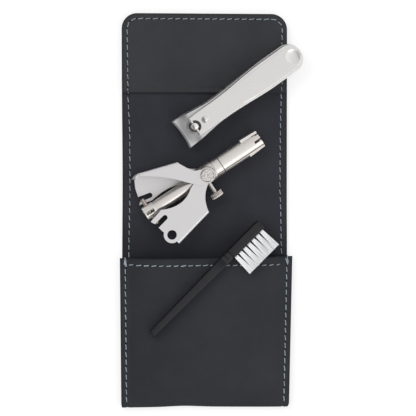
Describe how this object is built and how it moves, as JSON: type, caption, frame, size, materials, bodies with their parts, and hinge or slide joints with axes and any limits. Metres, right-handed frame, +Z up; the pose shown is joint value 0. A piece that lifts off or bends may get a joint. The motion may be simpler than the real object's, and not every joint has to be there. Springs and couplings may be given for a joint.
{
  "type": "manicure set case",
  "caption": "Open leather manicure case with a folding flap and a pocket, holding a nail clipper, a squeeze-type nose-hair trimmer and a small cleaning brush.",
  "frame": {"origin": "centre of the open case's underside, on the surface it lies on", "axes": "+Y along the case towards the flap's end, +X to the right seen from above, +Z up out of the lining"},
  "size_m": [0.0776, 0.1668, 0.0139],
  "materials": {
    "black_leather": "matte, finely buffed",
    "grey_leather": "matte, finely buffed",
    "seam_thread": "twisted thread",
    "clipper_steel": "satin, fine lines",
    "polished_steel": "polished",
    "turned_steel": "turned and lightly polished",
    "sheet_steel": "smooth satin sheet",
    "dark_steel": "plain",
    "black_plastic": "semi-matte moulded",
    "bristle": "drawn nylon"
  },
  "bodies": {
    "case": {"case_back_panel": "black_leather", "case_lining": "black_leather", "pocket_front": "grey_leather", "pocket_bottom_fold": "grey_leather", "panel_seam_thread": "seam_thread", "pocket_seam_thread": "seam_thread", "fold_leather": "black_leather", "fold_lining": "black_leather", "fold_seam_thread": "seam_thread"},
    "flap": {"flap_panel": "black_leather", "flap_lining": "black_leather", "flap_facing": "grey_leather", "flap_seam_thread": "seam_thread"},
    "clipper": {"clipper_lower_arm": "clipper_steel"},
    "clipper_arm": {"clipper_upper_arm": "clipper_steel"},
    "clipper_post": {"clipper_post": "polished_steel", "clipper_cross_pin": "polished_steel"},
    "clipper_lever": {"clipper_lever": "clipper_steel"},
    "trimmer": {"trimmer_housing": "turned_steel", "trimmer_barrel": "turned_steel", "trimmer_front_rivet": "turned_steel", "trimmer_back_rivet": "turned_steel", "trimmer_return_spring": "dark_steel"},
    "wing_a": {"trimmer_wing_a": "sheet_steel"},
    "wing_b": {"trimmer_wing_b": "sheet_steel"},
    "cutter": {"trimmer_inner_cutter": "turned_steel", "trimmer_crank_yoke": "turned_steel", "trimmer_crank_bar": "dark_steel"},
    "thumb_screw": {"trimmer_thumb_screw": "turned_steel"},
    "brush": {"brush_handle": "black_plastic", "brush_bristles": "bristle"}
  },
  "joints": [
    {"name": "flap_fold", "type": "hinge", "parent": "case", "child": "flap", "pos_m": [0, 0.0297, 0.0145], "axis": [1, 0, 0], "range_deg": [0, 180], "deforming": ["fold_leather", "fold_lining", "fold_seam_thread"]},
    {"name": "clipper_takeoff", "type": "slide", "parent": "flap", "child": "clipper", "axis": [0.8211, 0.5707, 0], "range_m": [0, 0.065]},
    {"name": "jaw_close", "type": "hinge", "parent": "clipper", "child": "clipper_arm", "pos_m": [0.03026, 0.06124, 0.00525], "axis": [0.5707, -0.8211, 0], "range_deg": [0, 2.1], "stiffness_Nm_per_rad": 0.3},
    {"name": "post_turn", "type": "hinge", "parent": "clipper", "child": "clipper_post", "pos_m": [-0.00522, 0.03658, 0.00375], "axis": [0, 0, 1], "range_deg": [0, 160]},
    {"name": "lever_flip", "type": "hinge", "parent": "clipper_post", "child": "clipper_lever", "pos_m": [-0.00522, 0.03658, 0.01135], "axis": [0.5707, -0.8211, 0], "range_deg": [0, 150]},
    {"name": "trimmer_lift", "type": "slide", "parent": "case", "child": "trimmer", "axis": [0, 0, 1], "range_m": [0, 0.08]},
    {"name": "wing_a_squeeze", "type": "hinge", "parent": "trimmer", "child": "wing_a", "pos_m": [-0.0001, 0.016, 0.0081], "axis": [0, 0, 1], "range_deg": [0, 8], "stiffness_Nm_per_rad": 0.05},
    {"name": "wing_b_squeeze", "type": "hinge", "parent": "trimmer", "child": "wing_b", "pos_m": [-0.0001, 0.016, 0.0081], "axis": [0, 0, -1], "range_deg": [0, 8]},
    {"name": "cutter_turn", "type": "hinge", "parent": "trimmer", "child": "cutter", "pos_m": [-0.0001, 0.016, 0.0081], "axis": [0.8387, 0.5446, 0], "range_deg": [0, 22]},
    {"name": "thumb_screw_turn", "type": "hinge", "parent": "trimmer", "child": "thumb_screw", "pos_m": [-0.0009, 0.01548, 0.0081], "axis": [0.5446, -0.8387, 0], "continuous": true},
    {"name": "brush_lift", "type": "slide", "parent": "case", "child": "brush", "axis": [0, 0, 1], "range_m": [0, 0.08]}
  ],
  "couplings": [
    {"joint": "wing_b_squeeze", "follows": "wing_a_squeeze", "ratio": 1},
    {"joint": "cutter_turn", "follows": "wing_a_squeeze", "ratio": 2.75}
  ]
}
